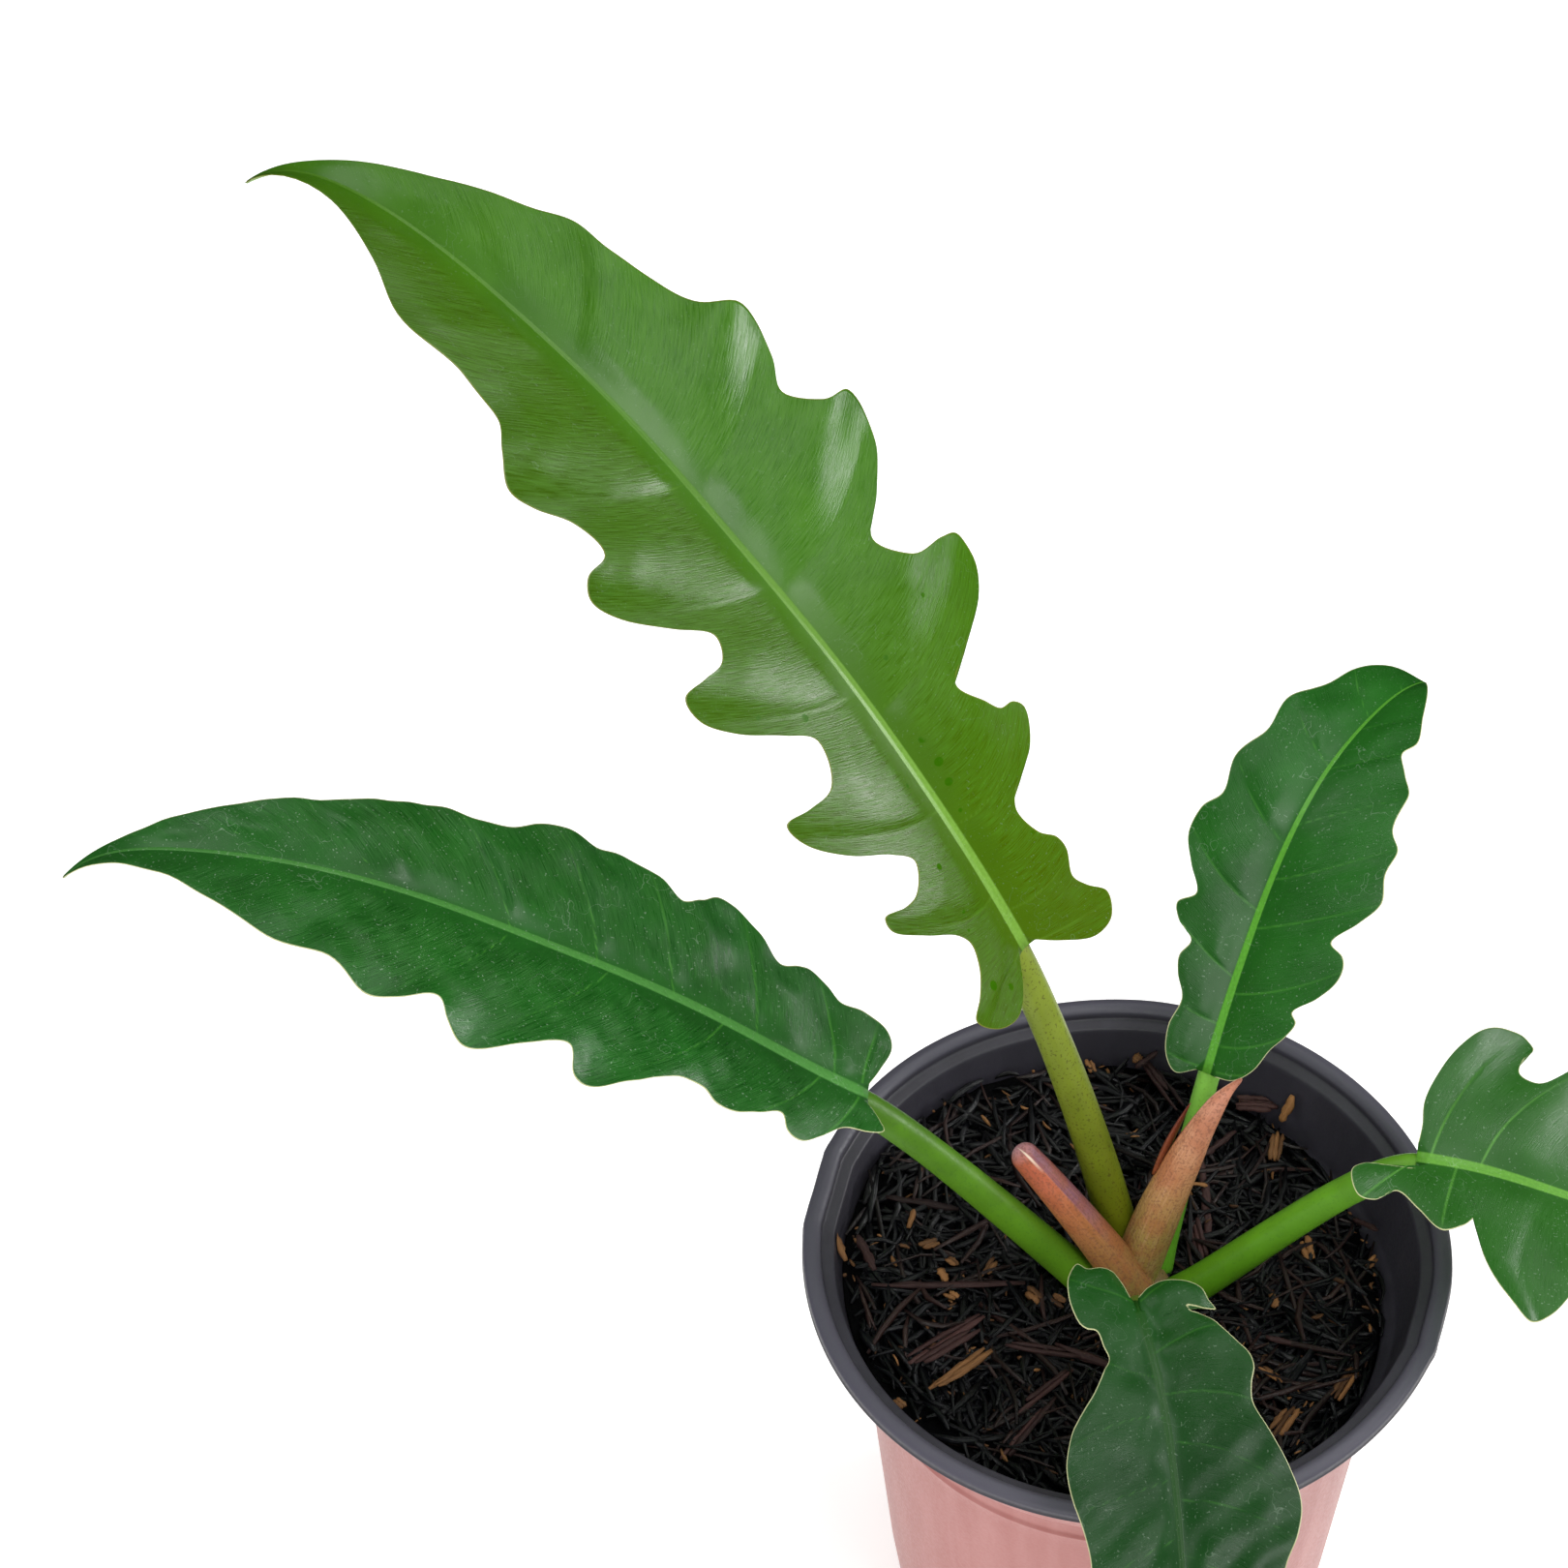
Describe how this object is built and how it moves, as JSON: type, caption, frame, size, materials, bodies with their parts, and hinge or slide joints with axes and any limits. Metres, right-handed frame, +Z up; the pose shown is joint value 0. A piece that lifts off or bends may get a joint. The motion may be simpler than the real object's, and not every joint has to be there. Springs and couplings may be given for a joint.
{
  "type": "potted philodendron",
  "caption": "Young potted philodendron with long saw-toothed, wavy-edged leaves on slender stalks rising from a short stem in a thin thermoformed nursery pot of dark husk mix.",
  "frame": {"origin": "middle of the flat underside of the pot, on the surface it stands on", "axes": "+Z up along the pot's axis; the front leaf hangs over the lip towards -Y, the long left leaf points to -X and the tall leaf to -X and +Y"},
  "size_m": [0.418, 0.2866, 0.3467],
  "materials": {
    "pot": "terracotta outside and charcoal black inside and on the lip, satin",
    "potting_mix": "loose charred husk and coir sticks with brown bark flakes, matt",
    "stem": "smooth living stem, satin",
    "young_leaf": "waxy olive to light green leaf with a pale midrib, satin",
    "leaf": "waxy dark green leaf with a pale midrib and thin pale edge, satin",
    "sheath": "pink to brown papery leaf sheath, satin"
  },
  "bodies": {
    "root": {"pot": "pot", "potting_mix": "potting_mix", "stem": "stem", "leaf_tall": "young_leaf", "leaf_left": "leaf", "leaf_upright": "leaf", "leaf_right": "leaf", "leaf_front": "leaf", "sheath_left": "sheath", "sheath_right": "sheath"}
  },
  "joints": []
}
